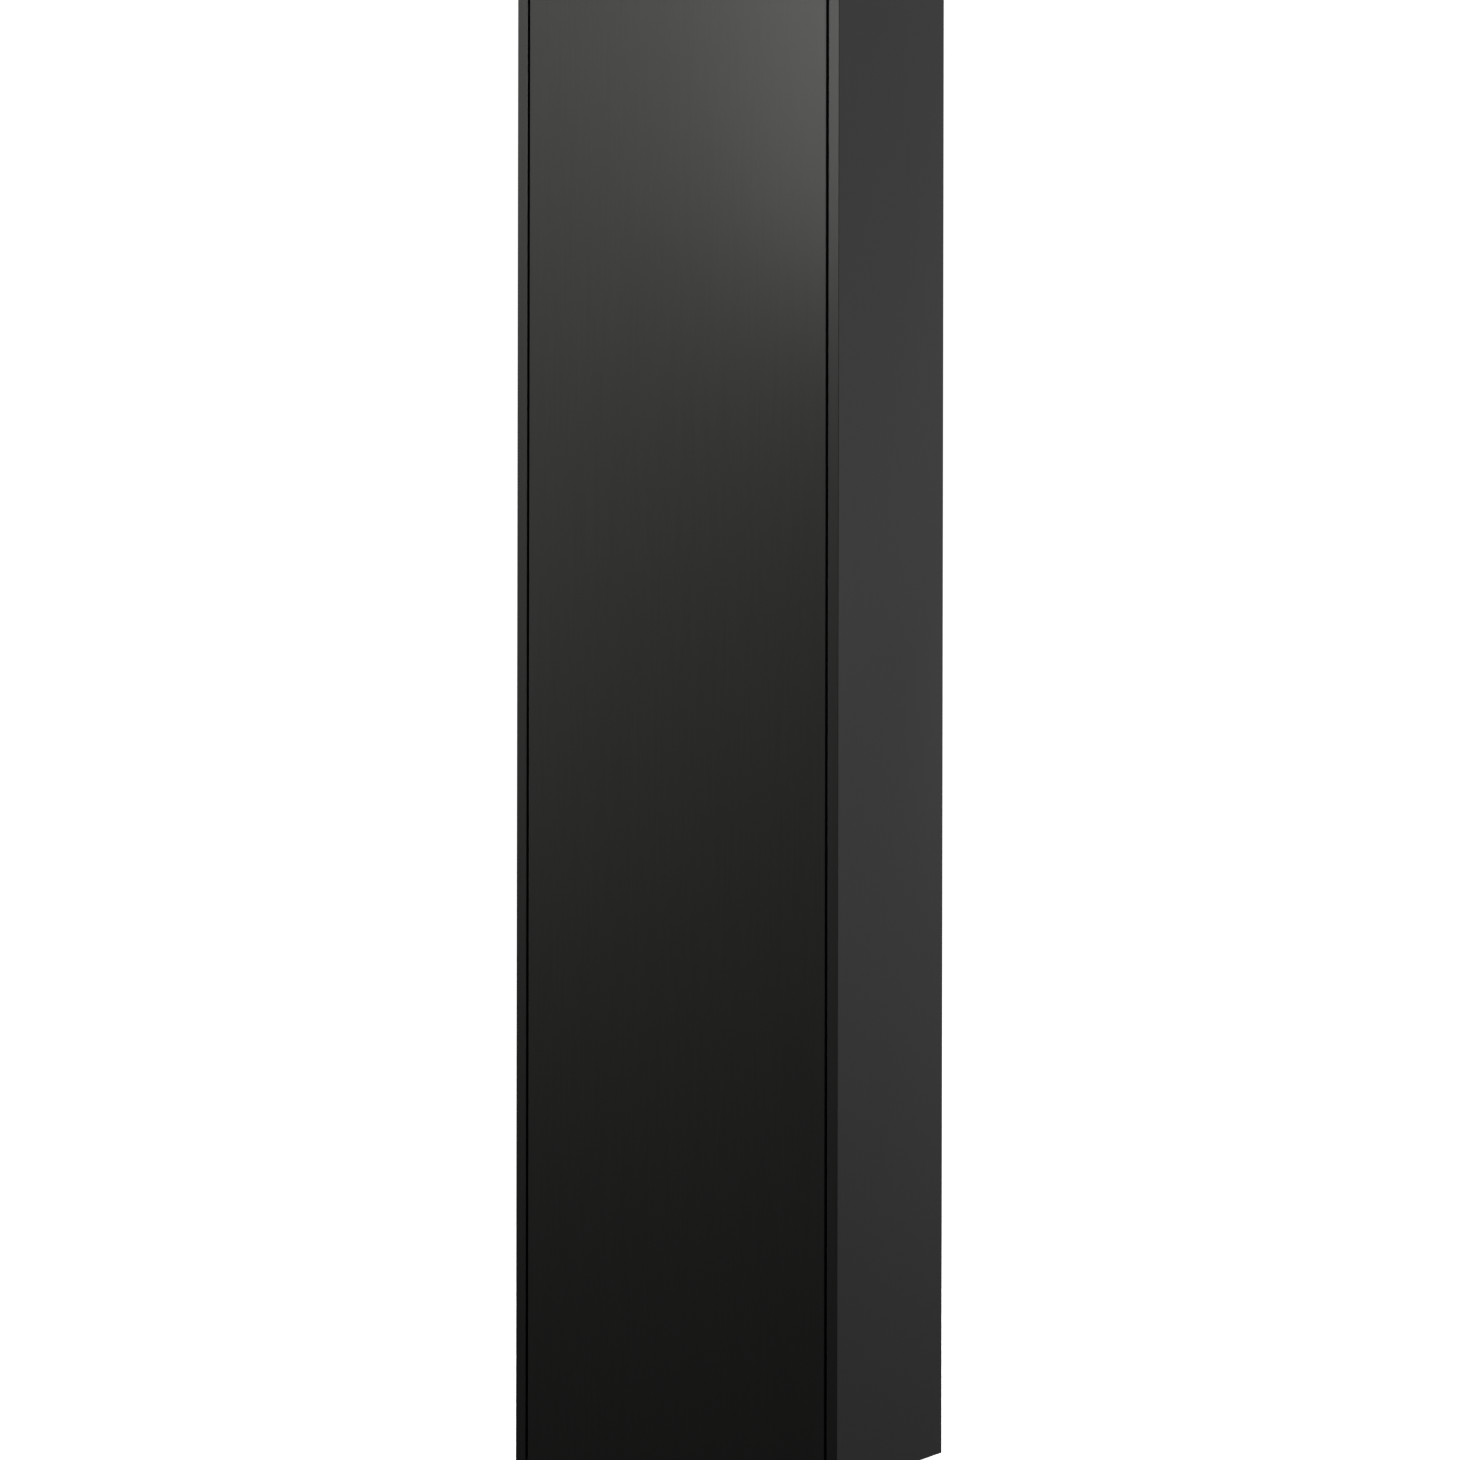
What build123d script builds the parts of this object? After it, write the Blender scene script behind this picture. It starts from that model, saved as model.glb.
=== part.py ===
from build123d import *
import math
import os

# Grandfather clock: a tall plain longcase clock with flush pivot-hung doors, one weight and a
# seconds pendulum. Millimetres. x is to the right, the front faces -y, z is up, the floor is z = 0.

# Case
case_width = 380.0
case_depth = 280.0
case_height = 2000.0
panel = 12.0  # thickness of the sides and the top
floor_gap = 5.0  # underside of the case above the floor
arris = 0.7  # eased front edges
base_thick = 18.0
back_thick = 9.0
back_inset = 6.0  # back board in from the rear edges of the sides
groove = 5.0  # depth of the side grooves that hold the back board

# Doors
reveal = 2.75  # gap round each door
door_thick = 18.0
door_bottom = 9.0
trunk_door_top = 1600.0
stile = 22.0  # hood door frame width
glass_thick = 3.0
rebate = 6.0
lip = 8.0  # frame in front of the glass
pin_inset = 16.0  # pivot pin in from the door's edge
pin_radius = 3.0
bush_radius = 5.0
bush_length = 12.0
running = 0.05  # radial clearance of every pin that turns in a hole
float_gap = 0.3  # gap between faces that pass each other

# Hardware
screw_shank = 1.6
screw_head = 3.2
screw_sink = 1.6
foot_spread_x = 118.0
foot_spread_y = 95.0
foot_radius = 14.0
foot_pad = 4.0
stem_radius = 3.95
insert_radius = 6.0
latch_size = (18.0, 40.0, 16.0)
plunger_radius = 4.0

# Time train: tooth counts and modules
great_teeth = 120
centre_teeth = 80
third_teeth = 75
escape_teeth = 30
leaves = 10
strong_module = 0.8
fine_module = 0.7
cannon_teeth = 12
minute_teeth = 36
hour_teeth = 40
motion_centres = 20.0  # hour arbor to minute post

# Going side
line_radius = 0.8
drum_radius = 20.9
pulley_groove = 20.9
line_reach = 22.0  # line centre from the drum and pulley axes
pulley_radius = 25.0
pulley_width = 8.0
pulley_z = 480.0
weight_radius = 32.0
weight_length = 220.0

# Pendulum
rod_radius = 4.0
bob_radius = 80.0
bob_edge = 12.0
bob_centre = 34.0
pendulum_length = 994.0

# Dial
dial_radius = 148.0
dial_setback = 42.0  # back of the dial disc behind the front
dial_thick = 2.0

# Worked out from the sizes above
half_width = case_width / 2
half_depth = case_depth / 2
inside = half_width - panel  # inner face of each side
latch_x = -inside + latch_size[0] / 2
front = -half_depth
back_front = half_depth - back_inset - back_thick  # front of the back board
base_low = floor_gap + 2.5
base_top = base_low + base_thick
door_half = inside - reveal
door_back = front + door_thick
hood_low = trunk_door_top + reveal
hood_top = case_height - panel - reveal
pin_x = door_half - pin_inset
pin_y = front + door_thick / 2
clear_y = pin_y + pin_inset + 5.0  # nothing of the inside comes further forward near the pivots
trunk_latch_z = trunk_door_top / 2
dial_z = (hood_low + hood_top) / 2
plate_low = dial_z - 108.0
plate_high = dial_z + 95.0
plate_half = 60.0
plate_thick = 3.0
dial_y = front + dial_setback
dial_front = dial_y - dial_thick
front_plate_y = dial_y + 22.0  # front face of the front plate
back_plate_y = front_plate_y + 51.0  # front face of the back plate
front_inner = front_plate_y + plate_thick
line_y = front_plate_y + 26.0
rod_y = back_plate_y + 40.0
seat_thick = 18.0
seat_low = plate_low - seat_thick
seat_front = front_plate_y - 14.0
seat_back = back_plate_y + 25.0
cleat = 20.0
great_reach = (great_teeth + leaves) * strong_module / 2
third_reach = (centre_teeth + leaves) * fine_module / 2
escape_reach = (third_teeth + leaves) * fine_module / 2
escape_z = dial_z + 50.0
escape_radius = 20.0
great_z = dial_z - great_reach
anchor_z = escape_z + escape_radius * math.sqrt(2)
# The third arbor stands where its two centre distances meet, left of the hour line.
third_up = (third_reach**2 - escape_reach**2 + 50.0**2) / (2 * 50.0)
third_x = -math.sqrt(third_reach**2 - third_up**2)
third_z = dial_z + third_up
minute_x = motion_centres * 0.8
minute_z = dial_z - motion_centres * 0.6
bob_z = anchor_z - pendulum_length
motion_module = 2 * motion_centres / (cannon_teeth + minute_teeth)
post_module = 2 * motion_centres / (leaves + hour_teeth)

CENTRED = (Align.CENTER, Align.CENTER, Align.CENTER)
RISING = (Align.CENTER, Align.CENTER, Align.MIN)
pieces = {}


def facing(y):
    """A sketch plane that faces the front at this depth, x to the right and z up."""
    return Plane.XZ.offset(-y)


def block(x1, x2, y1, y2, z1, z2, mode=Mode.ADD):
    """A box between two corners."""
    with Locations(((x1 + x2) / 2, (y1 + y2) / 2, (z1 + z2) / 2)):
        Box(x2 - x1, y2 - y1, z2 - z1, align=CENTRED, mode=mode)


def bar(x, z, radius, y1, y2, mode=Mode.ADD):
    """A round bar or hole along the depth."""
    with Locations((x, (y1 + y2) / 2, z)):
        Cylinder(radius, y2 - y1, rotation=(90, 0, 0), align=CENTRED, mode=mode)


def post(x, y, radius, z1, z2, mode=Mode.ADD):
    """An upright round bar or hole."""
    with Locations((x, y, z1)):
        Cylinder(radius, z2 - z1, align=RISING, mode=mode)


def screw(spot, toward, length, mode=Mode.ADD):
    """A countersunk screw, head flush at spot, shank running toward the given direction."""
    with Locations(Plane(origin=spot, z_dir=toward)):
        Cone(screw_head, screw_shank, screw_sink, align=RISING, mode=mode)
        Cylinder(screw_shank, length, align=RISING, mode=mode)


def screws(group, mode=Mode.ADD):
    """Every screw of one group, as solids or as the holes they fill."""
    for spot, toward, length in group:
        screw(spot, toward, length, mode)


def bearing(x1, z1, x2, z2):
    """The direction from one arbor to another, in degrees up from the right."""
    return math.degrees(math.atan2(z2 - z1, x2 - x1))


def tooth_outline(x, z, teeth, module, phase, slim):
    """Corner points of a toothed wheel with one tooth centred on phase. Slim teeth are pinion leaves."""
    pitch_radius = teeth * module / 2
    if slim:
        levels = ((-1.15, 0.20), (0.0, 0.19), (0.45, 0.125), (0.70, 0.06))
    else:
        levels = ((-1.20, 0.27), (0.0, 0.205), (0.55, 0.12), (0.80, 0.05))
    corners = []
    for tooth in range(teeth):
        middle = math.radians(phase + tooth * 360.0 / teeth)
        flanks = [(-1, level) for level in levels] + [(1, level) for level in reversed(levels)]
        for side, (rise, share) in flanks:
            radius = pitch_radius + rise * module
            angle = middle + side * share * math.pi * module / radius
            corners.append((x + radius * math.cos(angle), z + radius * math.sin(angle)))
    return corners


def toothed(x, z, teeth, module, phase, y1, y2, slim=False):
    """A toothed wheel between two depths."""
    with BuildSketch(facing(y2)) as blank:
        with BuildLine():
            Polyline(*tooth_outline(x, z, teeth, module, phase, slim), close=True)
        make_face()
    extrude(blank.sketch, amount=y2 - y1)


def crossings(x, z, hub, rim, spokes, spoke_width, y1, y2):
    """Cuts the windows that leave a hub, a rim and straight spokes."""
    with BuildSketch(facing(y2)) as windows:
        with Locations((x, z)):
            Circle(rim)
            Circle(hub, mode=Mode.SUBTRACT)
            with PolarLocations(0, spokes, start_angle=90):
                Rectangle(rim * 2, spoke_width, align=(Align.MIN, Align.CENTER), mode=Mode.SUBTRACT)
    extrude(windows.sketch, amount=y2 - y1, mode=Mode.SUBTRACT)


def plate_shape(corners, y1, y2, mode=Mode.ADD):
    """A flat shape with straight edges, seen from the front, between two depths."""
    with BuildSketch(facing(y2)) as flat:
        with BuildLine():
            Polyline(*corners, close=True)
        make_face()
    extrude(flat.sketch, amount=y2 - y1, mode=mode)


def hand(x, z, angle, tip, tail, root_width, tip_width, ring, bore, y1, y2):
    """A baton hand with a ring at its arbor. The angle is clockwise from straight up."""
    lean = math.radians(angle)
    along = (math.sin(lean), math.cos(lean))
    across = (math.cos(lean), -math.sin(lean))
    ends = ((tip, tip_width / 2), (tip, -tip_width / 2), (-tail, -root_width / 2), (-tail, root_width / 2))
    corners = [
        (x + far * along[0] + wide * across[0], z + far * along[1] + wide * across[1]) for far, wide in ends
    ]
    plate_shape(corners, y1, y2)
    bar(x, z, ring, y1, y2)
    bar(x, z, bore, y1 - 1, y2 + 1, mode=Mode.SUBTRACT)


# Screws, each a flush spot, a direction and a length
back_screws = [
    ((x, half_depth - back_inset, base_low + base_thick / 2), (0, -1, 0), 25.0) for x in (-120, 0, 120)
]
cleat_screws = [
    ((side * (inside - cleat), y, seat_low - cleat / 2), (side, 0, 0), cleat + 8.0)
    for side in (-1, 1)
    for y in (seat_front + 20, seat_back - 20)
]
seat_screws = [
    ((side * (inside - cleat / 2), y, plate_low), (0, 0, -1), seat_thick + 15.0)
    for side in (-1, 1)
    for y in (seat_front + 10, seat_back - 45)
]
bracket_screw_y = (clear_y + 12, clear_y + 38)
base_bracket_screws = [((pin_x, y, floor_gap), (0, 0, 1), 14.0) for y in bracket_screw_y]
mid_rail_low = trunk_door_top - 20.0
mid_rail_high = trunk_door_top + 22.0
mid_bracket_screws = [
    ((pin_x, clear_y - 1.5, z), (0, 1, 0), 14.0) for z in (mid_rail_low + 6, mid_rail_high - 6)
]
top_bracket_screws = [((pin_x, y, case_height - panel - 1.5), (0, 0, 1), 11.0) for y in bracket_screw_y]
hood_latch_z = hood_top - stile / 2
latch_screws = [
    ((-inside + latch_size[0], clear_y + 24, z), (-1, 0, 0), latch_size[0] + 8.0)
    for z in (trunk_latch_z, hood_latch_z)
]
wood_screws = (
    back_screws
    + cleat_screws
    + seat_screws
    + base_bracket_screws
    + mid_bracket_screws
    + top_bracket_screws
    + latch_screws
)

# Case: two sides mitred to the top, grooved for the back board
for side, name in ((-1, "left_side_panel"), (1, "right_side_panel")):
    with BuildPart() as pieces[name]:
        corners = [
            (side * inside, floor_gap),
            (side * half_width, floor_gap),
            (side * half_width, case_height),
            (side * inside, case_height - panel),
        ]
        plate_shape(corners, front, half_depth)
        fillet(pieces[name].edges().filter_by(Axis.Z).group_by(Axis.Y)[0], arris)
        groove_x = sorted((side * inside, side * (inside + groove)))
        groove_back = back_front + back_thick
        block(*groove_x, back_front, groove_back, base_low, case_height - panel, mode=Mode.SUBTRACT)
        screws(cleat_screws + latch_screws, Mode.SUBTRACT)

with BuildPart() as pieces["top_panel"]:
    corners = [
        (-half_width, case_height),
        (half_width, case_height),
        (inside, case_height - panel),
        (-inside, case_height - panel),
    ]
    plate_shape(corners, front, half_depth)
    fillet(pieces["top_panel"].edges().filter_by(Axis.X).group_by(Axis.Y)[0], arris)
    screws(top_bracket_screws, Mode.SUBTRACT)

with BuildPart() as pieces["base_panel"]:
    block(-inside, inside, clear_y, back_front, base_low, base_top)
    for x in (-foot_spread_x, foot_spread_x):
        for y in (-foot_spread_y, foot_spread_y):
            post(x, y, insert_radius, base_low, base_top, mode=Mode.SUBTRACT)
    screws(back_screws + base_bracket_screws, Mode.SUBTRACT)

wall_hole_radius = 3.0
wall_hole_spread = 100.0
wall_hole_z = 1940.0
with BuildPart() as pieces["back_board"]:
    block(
        -inside - groove,
        inside + groove,
        back_front,
        back_front + back_thick,
        base_low,
        case_height - panel,
    )
    for x in (-wall_hole_spread, wall_hole_spread):
        bar(x, wall_hole_z, wall_hole_radius, back_front - 1, half_depth, mode=Mode.SUBTRACT)
    screws(back_screws, Mode.SUBTRACT)

with BuildPart() as pieces["mid_rail"]:
    block(-inside, inside, clear_y, clear_y + 18.0, mid_rail_low, mid_rail_high)
    screws(mid_bracket_screws, Mode.SUBTRACT)

line_slot_x = -line_reach
with BuildPart() as pieces["seat_board"]:
    block(-inside, inside, seat_front, seat_back, seat_low, plate_low)
    block(line_slot_x - 4, line_slot_x + 4, line_y - 15, line_y + 15, seat_low, plate_low, mode=Mode.SUBTRACT)
    for x in (-52, 52):
        post(x, line_y, 2.0, seat_low, plate_low, mode=Mode.SUBTRACT)
    post(line_reach, line_y, 1.5, seat_low, seat_low + 12.0, mode=Mode.SUBTRACT)
    screws(seat_screws, Mode.SUBTRACT)

with BuildPart() as pieces["seat_board_cleats"]:
    for side in (-1, 1):
        cleat_x = sorted((side * inside, side * (inside - cleat)))
        block(*cleat_x, seat_front, seat_back, seat_low - cleat, seat_low)
    screws(cleat_screws + seat_screws, Mode.SUBTRACT)

with BuildPart() as pieces["foot_inserts"]:
    for x in (-foot_spread_x, foot_spread_x):
        for y in (-foot_spread_y, foot_spread_y):
            post(x, y, insert_radius, base_low, base_top)
            post(x, y, insert_radius + 3, base_low - 1.2, base_low)
            post(x, y, stem_radius + running, base_low - 2, base_top + 1, mode=Mode.SUBTRACT)

# Levelling feet, each a pad on a stem that screws into its insert
for name, x, y in (
    ("foot_front_left", -foot_spread_x, -foot_spread_y),
    ("foot_front_right", foot_spread_x, -foot_spread_y),
    ("foot_back_left", -foot_spread_x, foot_spread_y),
    ("foot_back_right", foot_spread_x, foot_spread_y),
):
    with BuildPart() as pieces[name]:
        post(x, y, foot_radius, 0.0, foot_pad)
        chamfer(pieces[name].edges().filter_by(GeomType.CIRCLE).group_by(Axis.Z)[-1], 1.2)
        post(x, y, stem_radius, foot_pad - 0.5, base_top + 2.0)

# Pivot brackets
with BuildPart() as pieces["base_pivot_bracket"]:
    block(pin_x - 18, inside - 1, front + 1, clear_y + 55, floor_gap, base_low)
    post(pin_x, pin_y, pin_radius, base_low, base_low + 12.0)
    screws(base_bracket_screws, Mode.SUBTRACT)

tongue = 1.5
tongue_low = trunk_door_top + (reveal - tongue) / 2
with BuildPart() as pieces["mid_pivot_bracket"]:
    block(pin_x - 15, pin_x + 15, front + 1, clear_y, tongue_low, tongue_low + tongue)
    block(pin_x - 15, pin_x + 15, clear_y - 1.5, clear_y, mid_rail_low + 1, mid_rail_high - 1)
    post(pin_x, pin_y, pin_radius, tongue_low - 10.0, tongue_low + tongue + 10.0)
    screws(mid_bracket_screws, Mode.SUBTRACT)

with BuildPart() as pieces["top_pivot_bracket"]:
    block(pin_x - 18, inside - 1, front + 1, clear_y + 55, case_height - panel - 1.5, case_height - panel)
    post(pin_x, pin_y, pin_radius, case_height - panel - 12.0, case_height - panel - 1.5)
    screws(top_bracket_screws, Mode.SUBTRACT)

# Push latches inside the left edge of each door
plunger_back = clear_y + 10.0
with BuildPart() as pieces["latch_housings"]:
    for z in (trunk_latch_z, hood_latch_z):
        block(
            -inside,
            -inside + latch_size[0],
            clear_y - 8.0,
            clear_y - 8.0 + latch_size[1],
            z - latch_size[2] / 2,
            z + latch_size[2] / 2,
        )
        bar(latch_x, z, plunger_radius + running, clear_y - 9.0, plunger_back + 5.0, mode=Mode.SUBTRACT)
    screws(latch_screws, Mode.SUBTRACT)

for name, z in (("trunk_latch_plunger", trunk_latch_z), ("hood_latch_plunger", hood_latch_z)):
    with BuildPart() as pieces[name]:
        bar(latch_x, z, plunger_radius, door_back + float_gap, plunger_back)

with BuildPart() as pieces["case_screws"]:
    screws(wood_screws)

# Trunk door
strike = (10.0, 1.0, 30.0)
hood_strike_height = 12.0
with BuildPart() as pieces["trunk_door_panel"]:
    block(-door_half, door_half, front, door_back, door_bottom, trunk_door_top)
    fillet(pieces["trunk_door_panel"].faces().sort_by(Axis.Y)[0].edges(), arris)
    post(pin_x, pin_y, bush_radius, door_bottom, door_bottom + bush_length, mode=Mode.SUBTRACT)
    post(pin_x, pin_y, bush_radius, trunk_door_top - bush_length, trunk_door_top, mode=Mode.SUBTRACT)
    block(
        latch_x - strike[0] / 2,
        latch_x + strike[0] / 2,
        door_back - strike[1],
        door_back,
        trunk_latch_z - strike[2] / 2,
        trunk_latch_z + strike[2] / 2,
        mode=Mode.SUBTRACT,
    )


def bush(low, high):
    """A pivot bush in a door, bored for its pin."""
    post(pin_x, pin_y, bush_radius, low, high)
    post(pin_x, pin_y, pin_radius + running, low - 1, high + 1, mode=Mode.SUBTRACT)


with BuildPart() as pieces["trunk_door_fittings"]:
    bush(base_low + float_gap, door_bottom + bush_length)
    bush(trunk_door_top - bush_length, trunk_door_top)
    block(
        latch_x - strike[0] / 2,
        latch_x + strike[0] / 2,
        door_back - strike[1],
        door_back,
        trunk_latch_z - strike[2] / 2,
        trunk_latch_z + strike[2] / 2,
    )

# Hood door: a glazed frame
sight = door_half - stile
glass_half = sight + rebate
with BuildPart() as pieces["hood_door_frame"]:
    block(-door_half, door_half, front, door_back, hood_low, hood_top)
    block(-sight, sight, front - 1, door_back + 1, hood_low + stile, hood_top - stile, mode=Mode.SUBTRACT)
    front_edges = pieces["hood_door_frame"].faces().sort_by(Axis.Y)[0].edges()
    fillet(front_edges, arris)
    block(
        -glass_half,
        glass_half,
        front + lip,
        door_back,
        hood_low + stile - rebate,
        hood_top - stile + rebate,
        mode=Mode.SUBTRACT,
    )
    post(pin_x, pin_y, bush_radius, hood_low, hood_low + bush_length, mode=Mode.SUBTRACT)
    post(pin_x, pin_y, bush_radius, hood_top - bush_length, hood_top, mode=Mode.SUBTRACT)
    block(
        latch_x - strike[0] / 2,
        latch_x + strike[0] / 2,
        door_back - strike[1],
        door_back,
        hood_latch_z - hood_strike_height / 2,
        hood_latch_z + hood_strike_height / 2,
        mode=Mode.SUBTRACT,
    )

glass_back = front + lip + glass_thick
with BuildPart() as pieces["hood_glass"]:
    block(
        -glass_half + 0.5,
        glass_half - 0.5,
        front + lip,
        glass_back,
        hood_low + stile - rebate + 0.5,
        hood_top - stile + rebate - 0.5,
    )

with BuildPart() as pieces["glazing_beads"]:
    block(
        -glass_half,
        glass_half,
        glass_back,
        door_back,
        hood_low + stile - rebate,
        hood_top - stile + rebate,
    )
    block(-sight, sight, glass_back, door_back, hood_low + stile, hood_top - stile, mode=Mode.SUBTRACT)

with BuildPart() as pieces["hood_door_fittings"]:
    bush(tongue_low + tongue + float_gap, hood_low + bush_length)
    bush(hood_top - bush_length, hood_top + 0.8)
    block(
        latch_x - strike[0] / 2,
        latch_x + strike[0] / 2,
        door_back - strike[1],
        door_back,
        hood_latch_z - hood_strike_height / 2,
        hood_latch_z + hood_strike_height / 2,
    )

# Movement frame: two plates on four pillars, standing on the seat board
pillar_spots = [(x, z) for x in (-52, 52) for z in (dial_z - 98, dial_z + 85)]
pillar_radius = 5.0
arbor_holes = (
    (0.0, great_z, 3.0),
    (0.0, dial_z, 2.0),
    (third_x, third_z, 1.0),
    (0.0, escape_z, 1.0),
)


def movement_plate(y):
    """One plate with the pivot holes of the train."""
    block(-plate_half, plate_half, y, y + plate_thick, plate_low, plate_high)
    for x, z, radius in arbor_holes:
        bar(x, z, radius + running, y - 1, y + plate_thick + 1, mode=Mode.SUBTRACT)
    for x, z in pillar_spots:
        bar(x, z, 2.0, y - 1, y + plate_thick + 1, mode=Mode.SUBTRACT)


minute_post_radius = 1.5
dial_feet = [(x, z) for x in (-45, 45) for z in (dial_z - 70, dial_z + 70)]
dial_foot_radius = 3.0
mask_thick = 3.0
with BuildPart() as pieces["front_plate"]:
    movement_plate(front_plate_y)
    bar(0.0, anchor_z, 1.0 + running, front_plate_y - 1, front_inner + 1, mode=Mode.SUBTRACT)
    bar(minute_x, minute_z, minute_post_radius, front_plate_y - 16.0, front_plate_y)

with BuildPart() as pieces["back_plate"]:
    movement_plate(back_plate_y)
    bar(0.0, anchor_z, 6.0, back_plate_y - 1, back_plate_y + plate_thick + 1, mode=Mode.SUBTRACT)
    for x in (-20, 20):
        bar(x, anchor_z - 0.3, 1.5, back_plate_y, back_plate_y + plate_thick, mode=Mode.SUBTRACT)

with BuildPart() as pieces["plate_pillars"]:
    for x, z in pillar_spots:
        bar(x, z, pillar_radius, front_inner, back_plate_y)
        bar(x, z, 2.0, front_inner, front_inner + 6, mode=Mode.SUBTRACT)
        bar(x, z, 2.0, back_plate_y - 6, back_plate_y, mode=Mode.SUBTRACT)
    for x in (-52, 52):
        post(x, line_y, 2.0, plate_low, dial_z - 98, mode=Mode.SUBTRACT)

cock_y = back_plate_y + plate_thick  # rear face of the back plate
with BuildPart() as pieces["back_cock"]:
    for x in (-20, 20):
        block(x - 4, x + 4, cock_y, cock_y + 18, anchor_z - 8.3, anchor_z + 7.7)
    block(-24, 24, cock_y + 14, cock_y + 18, anchor_z - 8.3, anchor_z + 16.7)
    block(-7, 7, cock_y + 18, rod_y + 10, anchor_z + 9.7, anchor_z + 16.7)
    bar(0.0, anchor_z, 1.0 + running, cock_y + 13, cock_y + 19, mode=Mode.SUBTRACT)
    for x in (-20, 20):
        bar(x, anchor_z - 0.3, 1.5, cock_y, cock_y + 18, mode=Mode.SUBTRACT)
    block(-1.3, 1.3, rod_y - 7, rod_y + 7, anchor_z + 9, anchor_z + 17, mode=Mode.SUBTRACT)

with BuildPart() as pieces["movement_screws"]:
    for x, z in pillar_spots:
        bar(x, z, 4.0, front_plate_y - 2.0, front_plate_y)
        bar(x, z, 2.0, front_plate_y, front_inner + 6)
        bar(x, z, 4.0, back_plate_y + plate_thick, back_plate_y + plate_thick + 2.0)
        bar(x, z, 2.0, back_plate_y - 6, back_plate_y + plate_thick)
    for x in (-20, 20):
        bar(x, anchor_z - 0.3, 1.5, back_plate_y, cock_y + 18)
        bar(x, anchor_z - 0.3, 3.0, cock_y + 18, cock_y + 20)
    for x in (-52, 52):
        post(x, line_y, 4.5, seat_low - 3.0, seat_low)
        post(x, line_y, 2.0, seat_low, dial_z - 98)
    post(line_reach, line_y, 1.5, seat_low, seat_low + 12.0)
    post(line_reach, line_y, 3.0, seat_low - 8.0, seat_low)

# Dial: a mask board on four feet, a round dial, raised batons and a seconds ring
mask_back = dial_y + mask_thick
mask_low = hood_low + stile + 1.25
mask_high = hood_top - stile - 3.25
with BuildPart() as pieces["dial_mask"]:
    block(-inside + 6, inside - 6, dial_y, mask_back, mask_low, mask_high)
    for x, z in dial_feet:
        bar(x, z, dial_foot_radius, mask_back, front_plate_y)
    for z, radius in ((dial_z, 8.0), (escape_z, 5.0), (great_z, 8.0)):
        bar(0.0, z, radius, dial_y - 1, mask_back + 1, mode=Mode.SUBTRACT)

with BuildPart() as pieces["dial_disc"]:
    bar(0.0, dial_z, dial_radius, dial_front, dial_y)
    for z, radius in ((dial_z, 7.0), (escape_z, 3.0), (great_z, 6.5)):
        bar(0.0, z, radius, dial_front - 1, dial_y + 1, mode=Mode.SUBTRACT)

raised = 0.6
with BuildPart() as pieces["dial_markings"]:
    for mark in range(60):
        lean = math.radians(mark * 6)
        if mark % 15 == 0:
            inner, outer, wide = 112.0, 142.0, 6.0
        elif mark % 5 == 0:
            inner, outer, wide = 122.0, 142.0, 4.0
        else:
            inner, outer, wide = 137.0, 142.0, 1.2
        if mark == 0:
            outer = 141.0
        along = (math.sin(lean), math.cos(lean))
        across = (math.cos(lean) * wide / 2, -math.sin(lean) * wide / 2)
        corners = [
            (inner * along[0] - across[0], dial_z + inner * along[1] - across[1]),
            (outer * along[0] - across[0], dial_z + outer * along[1] - across[1]),
            (outer * along[0] + across[0], dial_z + outer * along[1] + across[1]),
            (inner * along[0] + across[0], dial_z + inner * along[1] + across[1]),
        ]
        plate_shape(corners, dial_front - raised, dial_front)
    with BuildSketch(facing(dial_front)) as ring:
        with Locations((0, escape_z)):
            Circle(30.0)
            Circle(28.8, mode=Mode.SUBTRACT)
            with PolarLocations(25.4, 12):
                Rectangle(6.8, 1.2)
    extrude(ring.sketch, amount=raised)

# Lines: the barrel fall and the fixed fall
with BuildPart() as pieces["line_fall_left"]:
    post(-line_reach, line_y, line_radius, pulley_z, great_z)

with BuildPart() as pieces["line_fall_right"]:
    post(line_reach, line_y, line_radius, pulley_z, seat_low - 8.0)

# Great wheel, with the click on its front face
great_front = back_plate_y - 8.0
great_back = great_front + 3.5
barrel_arbor = 4.0
ratchet_radius = 17.0
click_post = (26.0, 10.0)
with BuildPart() as pieces["great_wheel"]:
    toothed(0.0, great_z, great_teeth, strong_module, 90.0, great_front, great_back)
    crossings(0.0, great_z, 31.0, 42.0, 6, 6.0, great_front - 1, great_back + 1)
    bar(0.0, great_z, barrel_arbor + running, great_front - 1, great_back + 1, mode=Mode.SUBTRACT)
    bar(click_post[0], great_z + click_post[1], 1.5, great_front - 5.6, great_front)

ratchet_front = great_front - 5.0
ratchet_back = great_front - 2.0
drum_front = front_plate_y + 15.0
drum_back = great_front - 6.0
with BuildPart() as pieces["barrel"]:
    bar(0.0, great_z, 34.0, drum_front - 2, drum_front)
    bar(0.0, great_z, drum_radius, drum_front, drum_back)
    bar(0.0, great_z, 26.0, drum_back - 1.5, drum_back)
    bar(0.0, great_z, barrel_arbor, front_inner + float_gap, back_plate_y - float_gap)
    bar(0.0, great_z, 3.0, front_plate_y - 1, back_plate_y + plate_thick)
    block(-2.6, 2.6, dial_y + 1, front_plate_y - 1, great_z - 2.6, great_z + 2.6)

with BuildPart() as pieces["ratchet_wheel"]:
    ratchet_teeth = 24
    corners = []
    for tooth in range(ratchet_teeth):
        steep = math.radians(tooth * 360.0 / ratchet_teeth)
        slope = math.radians((tooth + 0.12) * 360.0 / ratchet_teeth)
        corners.append((ratchet_radius * math.cos(steep), great_z + ratchet_radius * math.sin(steep)))
        low = ratchet_radius - 2.4
        corners.append((low * math.cos(slope), great_z + low * math.sin(slope)))
    plate_shape(corners, ratchet_front, ratchet_back)
    bar(0.0, great_z, barrel_arbor, ratchet_front - 1, ratchet_back + 1, mode=Mode.SUBTRACT)

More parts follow.
